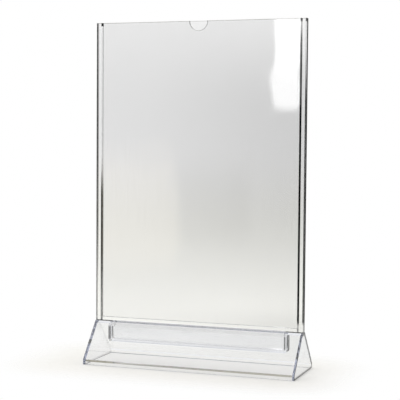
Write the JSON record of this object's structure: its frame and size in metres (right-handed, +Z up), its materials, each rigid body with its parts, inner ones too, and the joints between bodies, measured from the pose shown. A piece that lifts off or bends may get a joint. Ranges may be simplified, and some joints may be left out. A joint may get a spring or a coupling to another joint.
{
  "type": "sheet display stand",
  "caption": "Clear upright pocket for a loose sheet or photo, made of flat sheets bonded to spacer strips, plugged by a tab into a hollow triangular foot.",
  "frame": {"origin": "centre of the foot's underside, on the surface that it stands on", "axes": "+Z up along the pocket, +X along the foot to the right seen from the front, front towards -Y"},
  "size_m": [0.225, 0.07, 0.352],
  "materials": {
    "clear_foot": "clear polished moulding with a faint cool tint",
    "clear_sheet": "clear polished sheet",
    "clear_strip": "clear strip bonded between the sheets"
  },
  "bodies": {
    "base": {"base_shell": "clear_foot"},
    "pocket": {"front_sheet": "clear_sheet", "back_sheet": "clear_sheet", "left_side_strip": "clear_strip", "right_side_strip": "clear_strip", "bottom_strip": "clear_strip"}
  },
  "joints": [
    {"name": "pocket_lift", "type": "slide", "parent": "base", "child": "pocket", "axis": [0, 0, 1], "range_m": [0, 0.03]}
  ]
}
